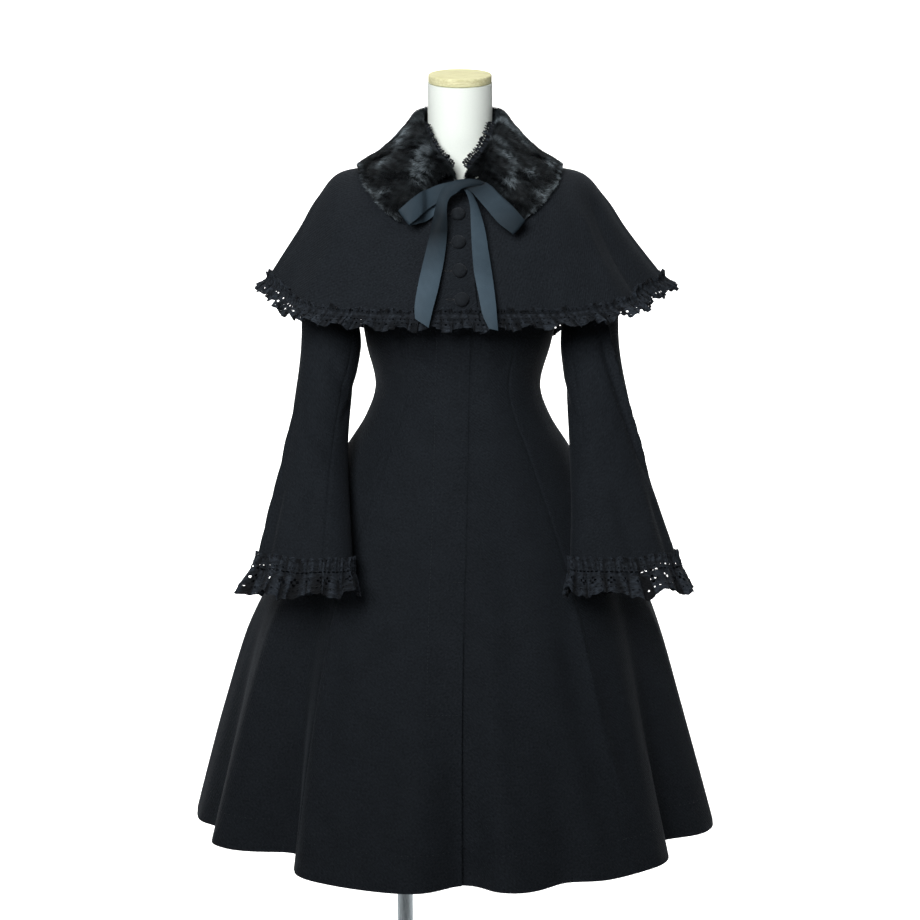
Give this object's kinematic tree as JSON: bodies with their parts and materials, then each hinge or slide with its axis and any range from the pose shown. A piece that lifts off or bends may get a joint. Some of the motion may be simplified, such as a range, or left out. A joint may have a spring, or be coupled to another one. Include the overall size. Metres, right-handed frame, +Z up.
{
  "type": "cape coat on a dress form",
  "caption": "Flared cape coat with a fur collar, ribbon bow, lace-edged cape and lace cuffs, worn by a limbless dress form with a wooden neck cap on a pole and round base.",
  "frame": {"origin": "a point on the underside of the round base, on the floor straight below the middle of the coat's neck", "axes": "+Z up, the coat's front faces -Y, and the wearer's right side is at -X"},
  "size_m": [0.7475, 0.7336, 1.4527],
  "materials": {
    "wool": "matt black wool with a faint blue cast",
    "lace": "black cotton lace",
    "fur": "short glossy black imitation fur",
    "satin": "dark slate satin ribbon",
    "form_cloth": "white cloth cover",
    "wood": "pale varnished wood",
    "steel": "brushed steel"
  },
  "bodies": {
    "root": {"bow_knot": "satin", "bow_loop_left": "satin", "bow_loop_right": "satin", "bow_tail_left": "satin", "bow_tail_right": "satin", "button_1": "wool", "button_2": "wool", "button_3": "wool", "button_4": "wool", "cape_back": "wool", "cape_front_left": "wool", "cape_front_right": "wool", "cape_lace_back": "lace", "cape_lace_front_left": "lace", "cape_lace_front_right": "lace", "coat_back_left": "wool", "coat_back_right": "wool", "coat_front_left": "wool", "coat_front_right": "wool", "coat_side_back_left": "wool", "coat_side_back_right": "wool", "coat_side_front_left": "wool", "coat_side_front_right": "wool", "collar_lace_left": "lace", "collar_lace_right": "lace", "collar_left": "fur", "collar_right": "fur", "cuff_lace_top_left": "lace", "cuff_lace_top_right": "lace", "cuff_lace_under_left": "lace", "cuff_lace_under_right": "lace", "form_base": "steel", "form_neck_cap": "wood", "form_pole": "steel", "form_torso": "form_cloth", "sleeve_top_left": "wool", "sleeve_top_right": "wool", "sleeve_under_left": "wool", "sleeve_under_right": "wool"}
  },
  "joints": []
}
